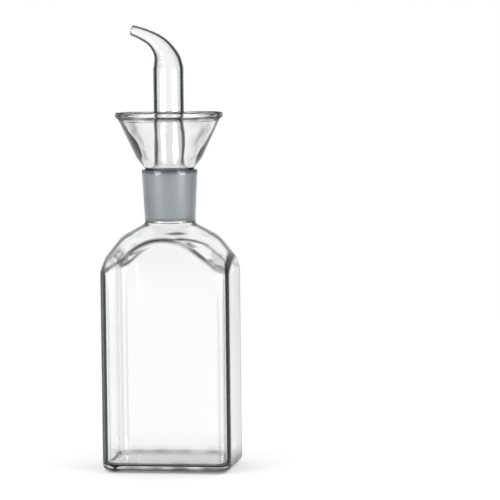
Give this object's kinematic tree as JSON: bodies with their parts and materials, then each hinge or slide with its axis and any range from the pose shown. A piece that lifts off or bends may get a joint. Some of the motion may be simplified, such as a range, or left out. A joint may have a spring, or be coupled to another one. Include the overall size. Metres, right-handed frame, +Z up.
{
  "type": "oil dispenser bottle",
  "caption": "Clear glass oil bottle with a rectangular body, domed shoulder and ground neck, and a lift-out glass pourer with a drip funnel and bent spout.",
  "frame": {"origin": "centre of the face that the bottle stands on", "axes": "+Z up along the neck, -X the way the spout points, broad faces towards -Y and +Y"},
  "size_m": [0.077, 0.0644, 0.2645],
  "materials": {
    "bottle_glass": "clear polished glass, faintly wavy",
    "pourer_glass": "clear flame-worked glass",
    "ground_glass": "fine-ground grey satin glass, on the joint's two mating faces"
  },
  "bodies": {
    "root": {"bottle": "bottle_glass", "pourer": "pourer_glass", "spout": "pourer_glass"}
  },
  "joints": []
}
